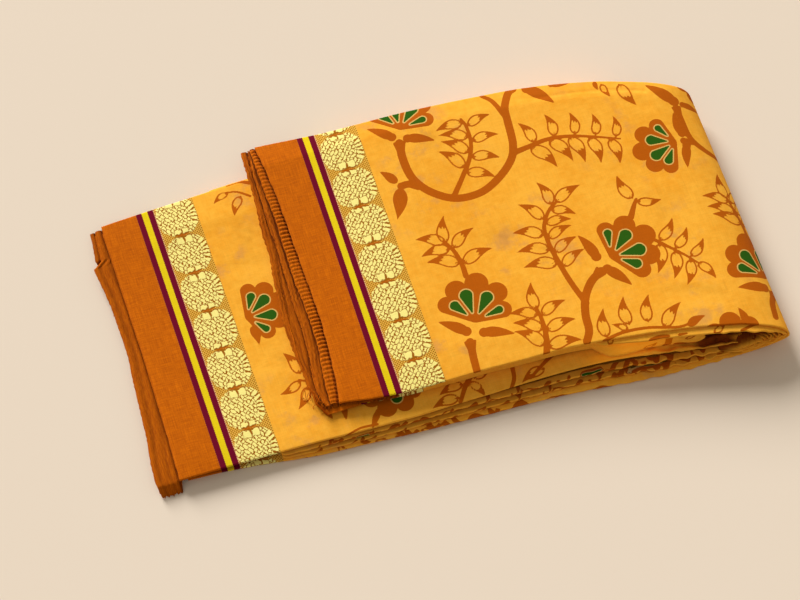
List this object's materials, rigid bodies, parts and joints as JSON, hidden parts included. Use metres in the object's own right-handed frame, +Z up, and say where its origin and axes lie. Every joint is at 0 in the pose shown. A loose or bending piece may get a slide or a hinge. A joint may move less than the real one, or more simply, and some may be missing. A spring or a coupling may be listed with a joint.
{
  "type": "folded printed cotton saree",
  "caption": "Cotton saree with a vine print and metallic-thread borders, folded to a long packet and once across, resting flat.",
  "frame": {"origin": "middle of the footprint box, on the surface the saree lies on", "axes": "+X along the folded strip from the selvedge ends to the cross fold, +Y to the back, +Z up"},
  "size_m": [0.6676, 0.3736, 0.0411],
  "materials": {
    "printed_cotton": "matt plain-weave cotton, mango yellow with a rust and green print",
    "border_cotton": "matt plain-weave cotton, rust orange border",
    "inner_cotton": "matt plain-weave cotton, hidden layers"
  },
  "bodies": {
    "root": {"lower_core": "inner_cotton", "lower_top_cloth": "printed_cotton", "lower_leaf_2": "border_cotton", "lower_leaf_3": "border_cotton", "lower_front_fold_1": "printed_cotton", "lower_front_fold_2": "printed_cotton", "lower_back_fold_1": "printed_cotton", "lower_back_fold_2": "printed_cotton", "upper_core": "inner_cotton", "inner_turn_cloth": "printed_cotton", "upper_leaf_2": "border_cotton", "upper_leaf_3": "border_cotton", "upper_leaf_4": "border_cotton", "outer_cloth": "printed_cotton", "second_cloth": "printed_cotton", "fold_filling": "inner_cotton"}
  },
  "joints": []
}
